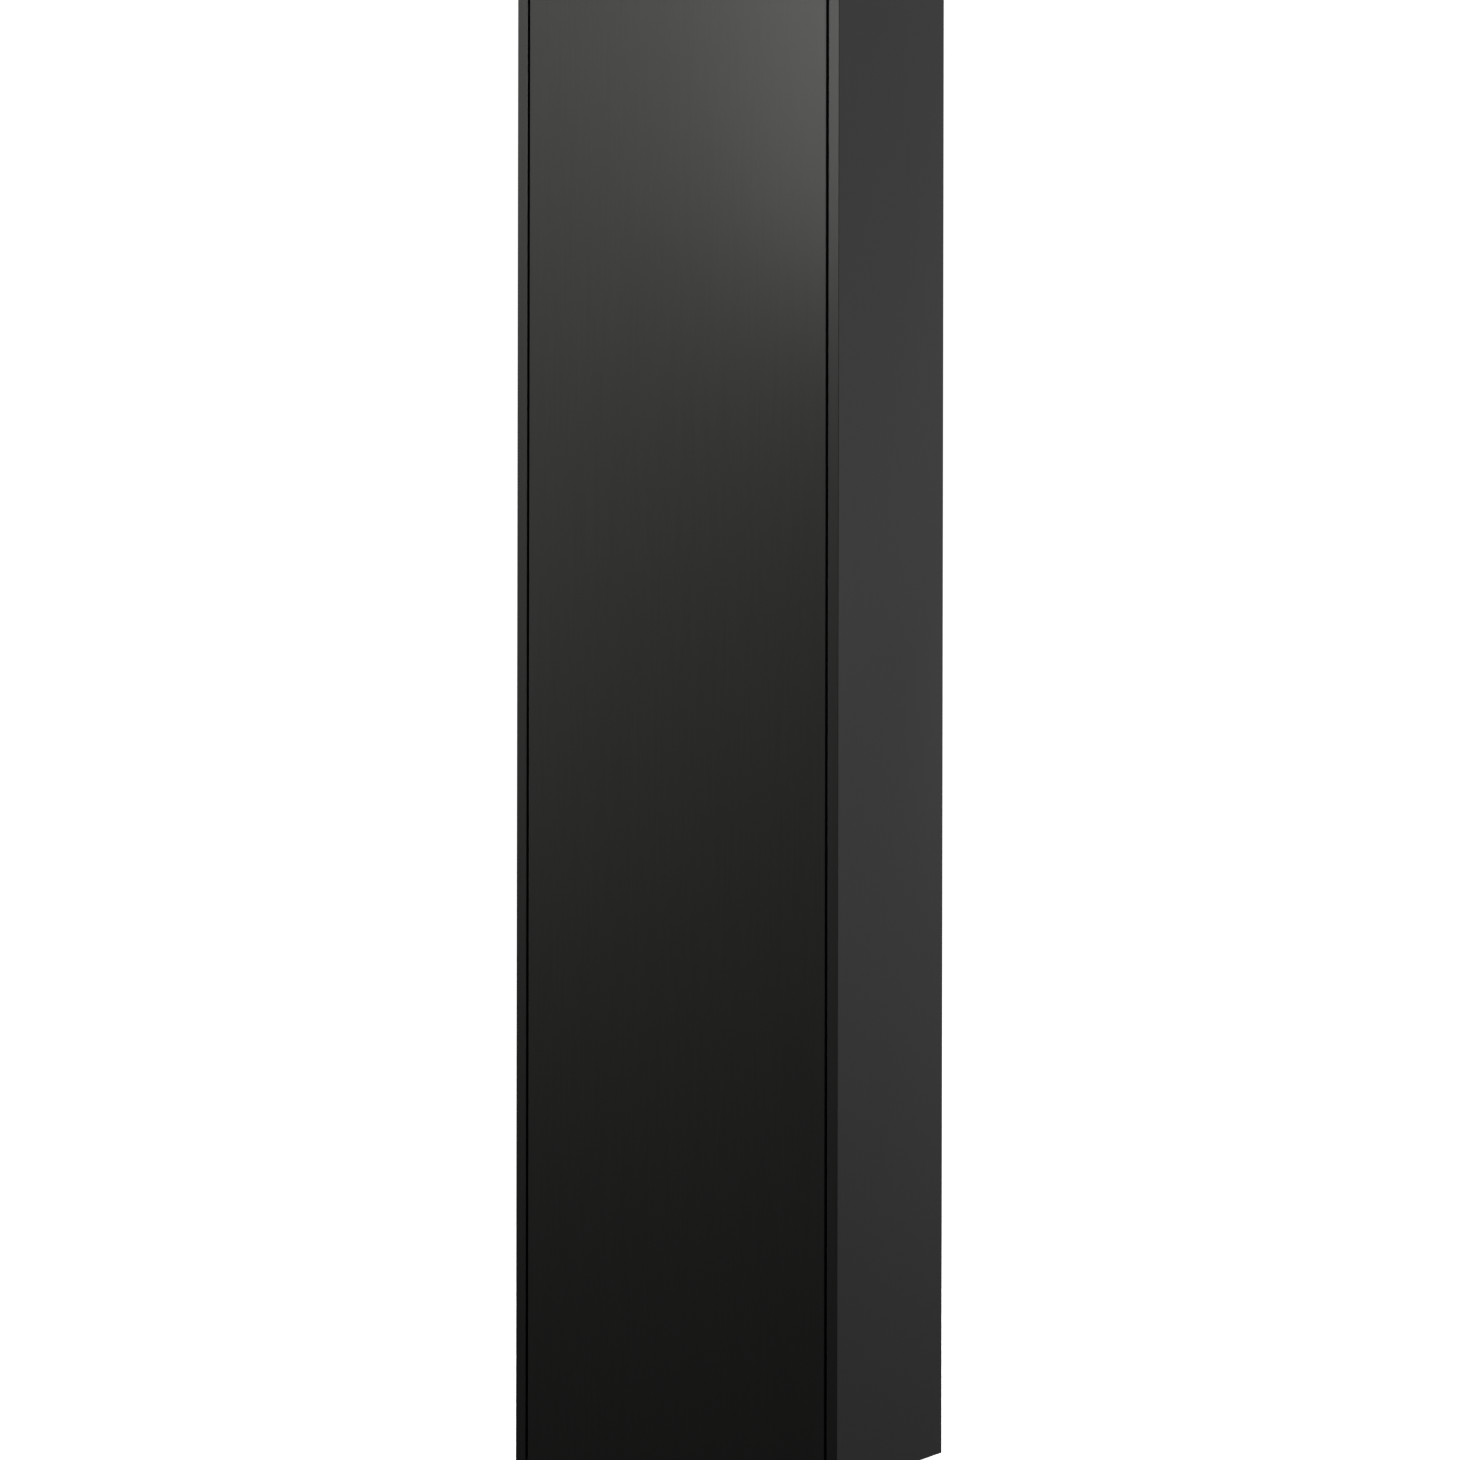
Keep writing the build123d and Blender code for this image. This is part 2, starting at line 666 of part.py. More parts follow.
with BuildPart() as pieces["click"]:
    click_z = great_z + click_post[1]
    corners = [
        (click_post[0] - 2.6, click_z + 1.5),
        (click_post[0] + 2.6, click_z + 1.5),
        (click_post[0] + 3.2, click_z - 6.0),
        (17.75, great_z - 4.0),
        (17.75, great_z + 0.5),
    ]
    click_front = ratchet_front + 0.4
    click_back = ratchet_back - 0.6
    plate_shape(corners, click_front, click_back)
    bar(click_post[0], click_z, 3.2, click_front, click_back)
    bar(click_post[0], click_z, 1.5 + running, click_front - 1, click_back + 1, mode=Mode.SUBTRACT)

with BuildPart() as pieces["line_wraps"]:
    for turn in range(3):
        y = drum_front + 1.0 + turn * 1.7
        with Locations(Plane(origin=(0, y, great_z), z_dir=(0, 1, 0))):
            Torus(drum_radius + line_radius, line_radius)

# Centre wheel, on the arbor that carries the cannon pinion and the minute hand
centre_wheel_front = front_plate_y + 6.0
minute_hand_front = dial_front - 7.5
with BuildPart() as pieces["centre_wheel"]:
    to_third = bearing(0.0, dial_z, third_x, third_z)
    toothed(0.0, dial_z, centre_teeth, fine_module, to_third, centre_wheel_front, centre_wheel_front + 2.5)
    crossings(0.0, dial_z, 7.0, 23.5, 5, 4.0, centre_wheel_front - 1, centre_wheel_front + 3.5)
    leaf_phase = 90.0 + 180.0 + 180.0 / leaves
    toothed(0.0, dial_z, leaves, strong_module, leaf_phase, great_front - 3, back_plate_y - 2, slim=True)
    bar(0.0, dial_z, 2.5, front_inner + float_gap, back_plate_y - float_gap)
    bar(0.0, dial_z, 2.0, minute_hand_front - 1.5, back_plate_y + plate_thick)

cannon_radius = 3.2
with BuildPart() as pieces["cannon_pinion"]:
    to_minute = bearing(0.0, dial_z, minute_x, minute_z)
    toothed(0.0, dial_z, cannon_teeth, motion_module, to_minute, front_plate_y - 8, front_plate_y - 3.5)
    bar(0.0, dial_z, cannon_radius, minute_hand_front, front_plate_y - 8)
    bar(0.0, dial_z, 2.0, minute_hand_front - 1, front_plate_y - 3, mode=Mode.SUBTRACT)

# The hands stand at ten past ten.
with BuildPart() as pieces["minute_hand"]:
    ends = (minute_hand_front, minute_hand_front + 1.0)
    hand(0.0, dial_z, 60.0, 132.0, 28.0, 7.0, 3.0, 7.0, cannon_radius, *ends)

with BuildPart() as pieces["minute_wheel"]:
    phase = to_minute + 180.0 + 180.0 / minute_teeth
    toothed(minute_x, minute_z, minute_teeth, motion_module, phase, front_plate_y - 7, front_plate_y - 4.5)
    to_hour = bearing(minute_x, minute_z, 0.0, dial_z)
    leaf_ends = (front_plate_y - 15, front_plate_y - 7)
    toothed(minute_x, minute_z, leaves, post_module, to_hour, *leaf_ends, slim=True)
    bore_ends = (front_plate_y - 16, front_plate_y - 4)
    bar(minute_x, minute_z, minute_post_radius + running, *bore_ends, mode=Mode.SUBTRACT)

hour_pipe = cannon_radius + running + 1.35
hour_hand_front = dial_front - 4.5
with BuildPart() as pieces["hour_wheel"]:
    phase = to_hour + 180.0 + 180.0 / hour_teeth
    toothed(0.0, dial_z, hour_teeth, post_module, phase, front_plate_y - 14, front_plate_y - 12)
    bar(0.0, dial_z, hour_pipe, hour_hand_front, front_plate_y - 14)
    bar(0.0, dial_z, cannon_radius + running, hour_hand_front - 1, front_plate_y - 11, mode=Mode.SUBTRACT)

with BuildPart() as pieces["hour_hand"]:
    hand(0.0, dial_z, 305.0, 92.0, 24.0, 9.0, 4.0, 8.5, hour_pipe, hour_hand_front, hour_hand_front + 1.2)

# Third wheel and escape wheel
third_front = front_plate_y + 16.0
with BuildPart() as pieces["third_wheel"]:
    to_escape = bearing(third_x, third_z, 0.0, escape_z)
    toothed(third_x, third_z, third_teeth, fine_module, to_escape, third_front, third_front + 2.5)
    crossings(third_x, third_z, 5.5, 22.0, 5, 3.5, third_front - 1, third_front + 3.5)
    phase = to_third + 180.0 + 180.0 / leaves
    toothed(third_x, third_z, leaves, fine_module, phase, front_plate_y + 4, front_plate_y + 11, slim=True)
    bar(third_x, third_z, 1.5, front_inner + float_gap, back_plate_y - float_gap)
    bar(third_x, third_z, 1.0, front_plate_y, back_plate_y + plate_thick)

escape_front = back_plate_y - 17.0
with BuildPart() as pieces["escape_wheel"]:
    corners = []
    for tooth in range(escape_teeth):
        tip = math.radians(90 + (tooth + 0.5) * 360.0 / escape_teeth)
        foot = tip - math.radians(2.2)
        gullet = tip + math.radians(5.0)
        low = escape_radius - 3.4
        corners.append((low * math.cos(foot), escape_z + low * math.sin(foot)))
        corners.append((escape_radius * math.cos(tip), escape_z + escape_radius * math.sin(tip)))
        corners.append((low * math.cos(gullet), escape_z + low * math.sin(gullet)))
    plate_shape(corners, escape_front, escape_front + 2)
    crossings(0.0, escape_z, 4.5, 13.8, 5, 2.6, escape_front - 1, escape_front + 3)
    phase = to_escape + 180.0 + 180.0 / leaves
    toothed(0.0, escape_z, leaves, fine_module, phase, third_front - 2, third_front + 5, slim=True)
    bar(0.0, escape_z, 1.5, front_inner + float_gap, back_plate_y - float_gap)
    bar(0.0, escape_z, 1.0, dial_front - 2.6, back_plate_y + plate_thick)

with BuildPart() as pieces["seconds_hand"]:
    hand(0.0, escape_z, 0.0, 25.0, 9.0, 1.6, 0.8, 2.4, 1.0, dial_front - 2.2, dial_front - 1.4)

# Anchor, its arbor and the crutch behind the back plate
fork_z = dial_z - 20.0
with BuildPart() as pieces["anchor"]:
    for side in (-1, 1):
        corners = [
            (side * 1.0, anchor_z + 3.0),
            (side * 12.0, anchor_z - 3.5),
            (side * 20.5, anchor_z - 10.5),
            (side * 17.6, anchor_z - 15.4),
            (side * 15.4, anchor_z - 13.2),
            (side * 15.0, anchor_z - 10.0),
            (side * 1.0, anchor_z - 4.0),
        ]
        plate_shape(corners, escape_front - 1, escape_front + 3)
    bar(0.0, anchor_z, 4.6, escape_front - 2, escape_front + 4)
    bar(0.0, anchor_z, 1.6, front_inner + float_gap, cock_y + 14 - float_gap)
    bar(0.0, anchor_z, 1.0, front_plate_y, cock_y + 18)
    bar(0.0, anchor_z, 5.0, cock_y + 3, cock_y + 6)
    block(-2.5, 2.5, cock_y + 3, cock_y + 6, fork_z - 2, anchor_z)
    prong = rod_radius + float_gap
    block(-prong - 2, prong + 2, cock_y + 3, cock_y + 6, fork_z - 2, fork_z + 2)
    for side in (-1, 1):
        prong_x = sorted((side * prong, side * (prong + 2)))
        block(*prong_x, cock_y + 6, rod_y + 5, fork_z - 2, fork_z + 2)

# Pendulum
spring_low = anchor_z - 12.0
with BuildPart() as pieces["suspension_spring"]:
    block(-0.2, 0.2, rod_y - 6, rod_y + 6, spring_low, anchor_z + 15.0)

bob_low = bob_z - bob_radius + 1.0
with BuildPart() as pieces["pendulum_rod"]:
    post(0.0, rod_y, rod_radius, bob_low - 22.0, anchor_z - 22.0)
    block(-5, 5, rod_y - 7, rod_y + 7, anchor_z - 24.0, anchor_z - 8.0)
    block(-0.2, 0.2, rod_y - 6, rod_y + 6, spring_low, anchor_z - 7.0, mode=Mode.SUBTRACT)

with BuildPart() as pieces["pendulum_bob"]:
    with BuildSketch(Plane.XY.offset(bob_z)) as half_bob:
        with BuildLine():
            front_face = ThreePointArc(
                (0, rod_y - bob_centre / 2),
                (bob_radius * 0.56, rod_y - bob_edge / 2 - (bob_centre - bob_edge) / 2 * 0.70),
                (bob_radius, rod_y - bob_edge / 2),
            )
            Line((bob_radius, rod_y - bob_edge / 2), (bob_radius, rod_y + bob_edge / 2))
            ThreePointArc(
                (bob_radius, rod_y + bob_edge / 2),
                (bob_radius * 0.56, rod_y + bob_edge / 2 + (bob_centre - bob_edge) / 2 * 0.70),
                (0, rod_y + bob_centre / 2),
            )
            Line((0, rod_y + bob_centre / 2), (0, rod_y - bob_centre / 2))
        make_face()
    revolve(half_bob.sketch, axis=Axis((0, 0, bob_z), (0, 1, 0)), revolution_arc=360)
    post(0.0, rod_y, rod_radius, bob_z - bob_radius - 5, bob_z + bob_radius + 5, mode=Mode.SUBTRACT)
    block(-40, 40, rod_y - 30, rod_y + 30, bob_low - 10, bob_low, mode=Mode.SUBTRACT)

with BuildPart() as pieces["rating_nut"]:
    with BuildSketch(Plane.XY.offset(bob_low - 10.0)):
        with Locations((0, rod_y)):
            Circle(9.0)
            with PolarLocations(9.4, 18):
                Circle(0.9, mode=Mode.SUBTRACT)
            Circle(rod_radius, mode=Mode.SUBTRACT)
    extrude(amount=10.0)

# Weight, pulley and the line round the pulley
weight_top = pulley_z - 60.0
with BuildPart() as pieces["weight"]:
    post(0.0, line_y, weight_radius, weight_top - weight_length, weight_top)
    rims = pieces["weight"].edges().filter_by(GeomType.CIRCLE)
    fillet(rims, 4.0)
    post(0.0, line_y, 4.0, weight_top - 14.0, weight_top, mode=Mode.SUBTRACT)

cheek_inner = pulley_width / 2 + 1.0
cheek_outer = cheek_inner + 2.0
with BuildPart() as pieces["pulley_bracket"]:
    for side in (-1, 1):
        cheek_y = sorted((line_y + side * cheek_inner, line_y + side * cheek_outer))
        block(-8, 8, *cheek_y, weight_top + 14, pulley_z)
        bar(0.0, pulley_z, 8.0, *cheek_y)
    block(-8, 8, line_y - cheek_outer, line_y + cheek_outer, weight_top + 12, weight_top + 16)
    bar(0.0, pulley_z, 2.5, line_y - cheek_outer - 1, line_y + cheek_outer + 1)
    post(0.0, line_y, 4.0, weight_top - 14.0, weight_top + 12)
    post(0.0, line_y, 7.0, weight_top, weight_top + 4)

with BuildPart() as pieces["pulley"]:
    with BuildSketch(Plane.XY.offset(pulley_z)) as half_pulley:
        half = pulley_width / 2
        with BuildLine():
            Polyline(
                (2.5 + running, line_y - half),
                (pulley_radius, line_y - half),
                (pulley_radius, line_y - 2.8),
                (pulley_groove, line_y - 1.4),
                (pulley_groove, line_y + 1.4),
                (pulley_radius, line_y + 2.8),
                (pulley_radius, line_y + half),
                (2.5 + running, line_y + half),
                close=True,
            )
        make_face()
    revolve(half_pulley.sketch, axis=Axis((0, 0, pulley_z), (0, 1, 0)), revolution_arc=360)
    for spoke in range(5):
        turn = math.radians(90 + spoke * 72)
        bar(
            12.5 * math.cos(turn),
            pulley_z + 12.5 * math.sin(turn),
            4.2,
            line_y - half - 1,
            line_y + half + 1,
            mode=Mode.SUBTRACT,
        )

with BuildPart() as pieces["line_loop"]:
    with BuildSketch(Plane.XY.offset(pulley_z)) as line_section:
        with Locations((line_reach, line_y)):
            Circle(line_radius)
    revolve(line_section.sketch, axis=Axis((0, 0, pulley_z), (0, 1, 0)), revolution_arc=180)

os.makedirs("parts", exist_ok=True)
for name, piece in pieces.items():
    piece.part.label = name
    export_step(piece.part, f"parts/{name}.step")
print(len(pieces), "pieces written")
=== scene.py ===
import math

import bmesh
import bpy
import numpy as np
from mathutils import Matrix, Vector


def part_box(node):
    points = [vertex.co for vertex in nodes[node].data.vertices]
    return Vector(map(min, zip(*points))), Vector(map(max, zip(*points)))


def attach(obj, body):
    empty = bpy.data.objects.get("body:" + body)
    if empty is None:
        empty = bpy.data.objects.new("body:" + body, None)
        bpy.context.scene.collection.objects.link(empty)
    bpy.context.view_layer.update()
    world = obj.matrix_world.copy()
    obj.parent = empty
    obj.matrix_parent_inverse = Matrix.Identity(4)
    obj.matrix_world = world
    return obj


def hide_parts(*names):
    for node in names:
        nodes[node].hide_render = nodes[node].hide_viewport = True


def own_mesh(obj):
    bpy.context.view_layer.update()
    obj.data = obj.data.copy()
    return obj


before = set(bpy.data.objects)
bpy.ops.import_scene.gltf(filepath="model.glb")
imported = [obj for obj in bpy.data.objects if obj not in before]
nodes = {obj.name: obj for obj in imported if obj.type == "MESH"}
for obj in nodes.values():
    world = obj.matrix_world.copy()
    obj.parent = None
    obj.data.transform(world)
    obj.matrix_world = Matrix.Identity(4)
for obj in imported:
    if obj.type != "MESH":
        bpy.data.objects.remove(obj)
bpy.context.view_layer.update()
scene = bpy.context.scene


# Materials
class Surface:
    """A material with its Principled shader and the object's own coordinates."""

    def __init__(self, name, **values):
        self.mat = bpy.data.materials.new(name)
        self.mat.use_nodes = True
        self.tree = self.mat.node_tree
        self.shader = self.tree.nodes["Principled BSDF"]
        self.place = self.tree.nodes.new("ShaderNodeTexCoord").outputs["Object"]
        for key, value in values.items():
            self.shader.inputs[key.replace("_", " ")].default_value = value

    def node(self, kind, **settings):
        made = self.tree.nodes.new(kind)
        for key, value in settings.items():
            setattr(made, key, value)
        return made

    def link(self, source, target):
        self.tree.links.new(source, target)

    def stretched(self, scale):
        """Object coordinates, stretched."""
        mapping = self.node("ShaderNodeMapping")
        mapping.inputs["Scale"].default_value = scale
        self.link(self.place, mapping.inputs["Vector"])
        return mapping.outputs["Vector"]

    def noise(self, scale, stretch=(1, 1, 1), detail=2.0, rough=0.5, distortion=0.0):
        """Noise in the object's coordinates, drawn out along an axis whose stretch is small."""
        made = self.node("ShaderNodeTexNoise")
        made.inputs["Scale"].default_value = scale
        made.inputs["Detail"].default_value = detail
        made.inputs["Roughness"].default_value = rough
        made.inputs["Distortion"].default_value = distortion
        self.link(self.stretched(stretch), made.inputs["Vector"])
        return made.outputs["Fac"]

    def ramp(self, fac, stops):
        """Colours along a value; each stop is a position and a colour."""
        made = self.node("ShaderNodeValToRGB")
        points = made.color_ramp.elements
        while len(points) < len(stops):
            points.new(0.5)
        for point, (position, colour) in zip(points, stops):
            point.position = position
            point.color = (*colour, 1.0)
        self.link(fac, made.inputs["Fac"])
        return made.outputs["Color"]

    def spread(self, fac, low, high, start=0.3, end=0.7):
        """A value moved to the range from low to high."""
        made = self.node("ShaderNodeMapRange")
        for key, value in (("From Min", start), ("From Max", end), ("To Min", low), ("To Max", high)):
            made.inputs[key].default_value = value
        self.link(fac, made.inputs["Value"])
        return made.outputs["Result"]

    def mixed(self, fac, first, second):
        """The first colour where the value is 0 and the second where it is 1."""
        made = self.node("ShaderNodeMix", data_type="RGBA")
        self.link(fac, made.inputs["Factor"])
        self.link(first, made.inputs[6])
        self.link(second, made.inputs[7])
        return made.outputs[2]

    def bump(self, height, strength, distance, after=None):
        """A bumped normal, on top of an earlier one if there is one."""
        made = self.node("ShaderNodeBump")
        made.inputs["Strength"].default_value = strength
        made.inputs["Distance"].default_value = distance
        self.link(height, made.inputs["Height"])
        if after is not None:
            self.link(after, made.inputs["Normal"])
        return made.outputs["Normal"]

    def colour(self, source):
        self.link(source, self.shader.inputs["Base Color"])

    def roughness(self, source):
        self.link(source, self.shader.inputs["Roughness"])

    def normal(self, source):
        self.link(source, self.shader.inputs["Normal"])


def black_wood(name, along):
    """Black-stained board under satin lacquer, with fine grain along one direction."""
    s = Surface(name, Specular_IOR_Level=0.2)
    grain = s.noise(420.0, tuple(0.02 if a else 1.0 for a in along), 4.0, 0.6, 0.3)
    pores = s.noise(1500.0, tuple(0.012 if a else 1.0 for a in along), 1.0, 0.5)
    cloud = s.noise(3.0, (1, 1, 0.5), 2.0, 0.5)
    fibre = s.ramp(grain, ((0.30, (0.0370, 0.0368, 0.0354)), (0.70, (0.0405, 0.0403, 0.0388))))
    fleck = s.ramp(grain, ((0.30, (0.0345, 0.0343, 0.0330)), (0.70, (0.0430, 0.0428, 0.0412))))
    s.colour(s.mixed(s.spread(pores, 0.0, 1.0, 0.58, 0.72), fibre, fleck))
    s.roughness(s.spread(cloud, 0.31, 0.36))
    first = s.bump(grain, 0.10, 0.0002)
    s.normal(s.bump(pores, 0.06, 0.0001, first))
    return s.mat


def inner_wood(name):
    """Dark flat-finished board inside the case."""
    s = Surface(name, Specular_IOR_Level=0.25)
    grain = s.noise(260.0, (1.0, 1.0, 0.03), 4.0, 0.6, 0.4)
    s.colour(s.ramp(grain, ((0.25, (0.028, 0.023, 0.018)), (0.75, (0.060, 0.049, 0.038)))))
    s.roughness(s.spread(grain, 0.55, 0.7))
    s.normal(s.bump(grain, 0.25, 0.0003))
    return s.mat


def metal(name, light, dark, rough, stretch, scale=700.0, bump=0.05):
    """Metal with fine brushing along one direction, and faint handling marks."""
    s = Surface(name, Metallic=1.0)
    brushing = s.noise(scale, stretch, 3.0, 0.6)
    marks = s.noise(26.0, (1, 1, 1), 3.0, 0.6)
    worn = s.ramp(brushing, ((0.3, dark), (0.7, light)))
    dull = s.ramp(brushing, ((0.3, tuple(v * 0.72 for v in dark)), (0.7, tuple(v * 0.84 for v in light))))
    s.colour(s.mixed(s.spread(marks, 0.0, 0.8, 0.5, 0.75), worn, dull))
    s.roughness(s.spread(marks, rough + 0.04, rough + 0.09, 0.3, 0.8))
    s.normal(s.bump(brushing, bump, 0.0001))
    return s.mat


def coated(name, light, dark, rough, grain=900.0, bump=0.15, level=0.4):
    """Paint, enamel or moulded plastic with a fine even texture."""
    s = Surface(name, Specular_IOR_Level=level)
    fine = s.noise(grain, (1, 1, 1), 2.0, 0.5)
    cloud = s.noise(14.0, (1, 1, 1), 2.0, 0.5)
    s.colour(s.ramp(cloud, ((0.3, dark), (0.7, light))))
    s.roughness(s.spread(fine, rough, rough + 0.1))
    s.normal(s.bump(fine, bump, 0.0001))
    return s.mat


def clear_glass(name):
    """Clear glass with a faint film."""
    s = Surface(name, Transmission_Weight=1.0, IOR=1.45, Roughness=0.0, Specular_IOR_Level=0.3)
    film = s.noise(5.0, (1, 1, 1), 2.0, 0.5)
    s.colour(s.ramp(film, ((0.3, (0.93, 0.97, 0.95)), (0.7, (0.97, 0.99, 0.98)))))
    s.roughness(s.spread(film, 0.0, 0.02))
    return s.mat


upright = black_wood("black_wood_upright", (0, 0, 1))
level_board = black_wood("black_wood_level", (1, 0, 0))
inside_wood = inner_wood("inner_wood")
brass = metal("brass", (0.83, 0.62, 0.30), (0.74, 0.53, 0.24), 0.24, (1.0, 1.0, 0.05))
bright_brass = metal("bright_brass", (0.88, 0.67, 0.34), (0.82, 0.60, 0.28), 0.12, (1, 1, 1), 300.0, 0.02)
steel = metal("steel", (0.62, 0.61, 0.59), (0.50, 0.49, 0.48), 0.26, (1.0, 1.0, 0.04))
dark_steel = coated("dark_steel", (0.020, 0.020, 0.022), (0.014, 0.014, 0.016), 0.30)
line_wire = metal("line_wire", (0.55, 0.54, 0.51), (0.36, 0.35, 0.33), 0.34, (1.0, 1.0, 1.0), 1200.0)
black_plastic = coated("black_plastic", (0.022, 0.022, 0.022), (0.016, 0.016, 0.016), 0.5, 1400.0, 0.3)
glass = clear_glass("glass")
enamel = coated("enamel", (0.40, 0.392, 0.368), (0.37, 0.362, 0.338), 0.32, 500.0, 0.05, 0.4)
mask_black = coated("mask_black", (0.014, 0.014, 0.014), (0.009, 0.009, 0.009), 0.6, 1800.0, 0.4, 0.3)

finishes = {
    "left_side_panel": upright,
    "right_side_panel": upright,
    "top_panel": level_board,
    "base_panel": inside_wood,
    "back_board": inside_wood,
    "mid_rail": inside_wood,
    "seat_board": inside_wood,
    "seat_board_cleats": inside_wood,
    "foot_inserts": steel,
    "base_pivot_bracket": dark_steel,
    "mid_pivot_bracket": dark_steel,
    "top_pivot_bracket": dark_steel,
    "latch_housings": black_plastic,
    "case_screws": steel,
    "front_plate": brass,
    "back_plate": brass,
    "plate_pillars": bright_brass,
    "movement_screws": steel,
    "back_cock": brass,
    "dial_mask": mask_black,
    "dial_disc": enamel,
    "dial_markings": dark_steel,
    "line_fall_left": line_wire,
    "line_fall_right": line_wire,
    "trunk_door_panel": upright,
    "trunk_door_fittings": steel,
    "hood_door_frame": upright,
    "hood_glass": glass,
    "glazing_beads": upright,
    "hood_door_fittings": steel,
    "trunk_latch_plunger": black_plastic,
    "hood_latch_plunger": black_plastic,
    "great_wheel": brass,
    "barrel": bright_brass,
    "ratchet_wheel": steel,
    "line_wraps": line_wire,
    "click": steel,
    "centre_wheel": brass,
    "cannon_pinion": steel,
    "minute_hand": dark_steel,
    "minute_wheel": brass,
    "hour_wheel": brass,
    "hour_hand": dark_steel,
    "third_wheel": brass,
    "escape_wheel": brass,
    "seconds_hand": dark_steel,
    "anchor": steel,
    "suspension_spring": steel,
    "pendulum_rod": steel,
    "pendulum_bob": bright_brass,
    "rating_nut": bright_brass,
    "weight": bright_brass,
    "pulley_bracket": steel,
    "pulley": brass,
    "line_loop": line_wire,
}
for name, piece in nodes.items():
    finish = finishes.get(name, black_plastic)  # the four feet aren't in the list
    if not piece.material_slots:
        piece.data.materials.append(finish)
    for slot in piece.material_slots:
        slot.material = finish


# The line's falls: three twisted strands each, hung on the case in place of the plain falls
def twisted_line(name, x, y, low, high, radius, strands=3, pitch=0.0075, sides=5):
    """Strands wound round an upright line, each a tube with a few sides."""
    strand = radius * 0.46  # so that three strands nearly touch
    wind = radius - strand
    rings_in_a_turn = 10
    steps = max(8, int((high - low) / pitch * rings_in_a_turn))
    mesh = bmesh.new()
    for index in range(strands):
        rings = []
        for step in range(steps + 1):
            rise = low + (high - low) * step / steps
            turn = 2 * math.pi * ((rise - low) / pitch + index / strands)
            middle = Vector((x + wind * math.cos(turn), y + wind * math.sin(turn), rise))
            ring = []
            for side in range(sides):
                round_it = 2 * math.pi * side / sides
                offset = Vector((math.cos(round_it) * strand, math.sin(round_it) * strand, 0))
                ring.append(mesh.verts.new(middle + offset))
            rings.append(ring)
        for lower, upper in zip(rings, rings[1:]):
            for side in range(sides):
                after = (side + 1) % sides
                mesh.faces.new((lower[side], lower[after], upper[after], upper[side]))
        mesh.faces.new(list(reversed(rings[0])))
        mesh.faces.new(rings[-1])
    data = bpy.data.meshes.new(name)
    mesh.to_mesh(data)
    mesh.free()
    for polygon in data.polygons:
        polygon.use_smooth = True
    made = bpy.data.objects.new(name, data)
    scene.collection.objects.link(made)
    data.materials.append(line_wire)
    return made


for node in ("line_fall_left", "line_fall_right"):
    low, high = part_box(node)
    middle_x, middle_y = (low.x + high.x) / 2, (low.y + high.y) / 2
    fall = twisted_line(node + "_strands", middle_x, middle_y, low.z, high.z, (high.x - low.x) / 2)
    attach(fall, "case")
    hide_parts(node)
    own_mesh(fall)


# Camera: level, from the right and low down, with a hair of roll
turn = math.radians(25.47)
roll = math.radians(-0.094)
stand = Vector((2.2590, -4.7463, 0.7979))
camera_data = bpy.data.cameras.new("camera")
camera_data.sensor_fit = "HORIZONTAL"
camera_data.sensor_width = 36.0
camera_data.lens = 119.1
camera_data.clip_end = 100.0
camera = bpy.data.objects.new("camera", camera_data)
camera.location = stand
camera.rotation_euler = (math.radians(90.0), roll, turn)
scene.collection.objects.link(camera)
scene.camera = camera

# Floor and backdrop: one pale sheet that curves up into a wall all round
flat_radius = 10.0
curve = 3.0
wall_top = 12.0
around = 64
profile = [(0.6 * flat_radius, 0.0), (flat_radius, 0.0)]
for bend in np.linspace(0.0, math.pi / 2, 9)[1:]:
    profile.append((flat_radius + curve * math.sin(bend), curve - curve * math.cos(bend)))
profile.append((flat_radius + curve, wall_top))
sweep = bmesh.new()
middle = sweep.verts.new((0.0, 0.0, 0.0))
angles = [2 * math.pi * step / around for step in range(around)]
rings = []
for radius, rise in profile:
    rings.append([sweep.verts.new((radius * math.cos(a), radius * math.sin(a), rise)) for a in angles])
for step in range(around):
    after = (step + 1) % around
    sweep.faces.new((middle, rings[0][step], rings[0][after]))
    for inner, outer in zip(rings, rings[1:]):
        sweep.faces.new((inner[step], outer[step], outer[after], inner[after]))
floor_data = bpy.data.meshes.new("floor")
sweep.to_mesh(floor_data)
sweep.free()
for polygon in floor_data.polygons:
    polygon.use_smooth = True
floor = bpy.data.objects.new("floor", floor_data)
scene.collection.objects.link(floor)
floor.visible_glossy = False
floor.visible_diffuse = False
floor.visible_shadow = False
pale = Surface(
    "pale_floor",
    Roughness=0.9,
    Specular_IOR_Level=0.1,
    Emission_Color=(1.0, 1.0, 1.0, 1.0),
    Emission_Strength=1.0,
)
paper = pale.noise(40.0, (1, 1, 1), 3.0, 0.5)
pale.colour(pale.ramp(paper, ((0.3, (0.88, 0.88, 0.88)), (0.7, (0.90, 0.90, 0.90)))))
floor_data.materials.append(pale.mat)


# Studio: a white backdrop behind the clock as the camera sees it, grey beside it, dark in front
world = bpy.data.worlds.new("studio")
scene.world = world
world.use_nodes = True
tree = world.node_tree
sky = tree.nodes["Background"]
where = tree.nodes.new("ShaderNodeTexCoord").outputs["Generated"]


def facing(direction):
    """How closely a direction of the surroundings meets a given one, from -1 to 1."""
    made = tree.nodes.new("ShaderNodeVectorMath")
    made.operation = "DOT_PRODUCT"
    tree.links.new(where, made.inputs[0])
    made.inputs[1].default_value = Vector(direction).normalized()
    return made.outputs["Value"]


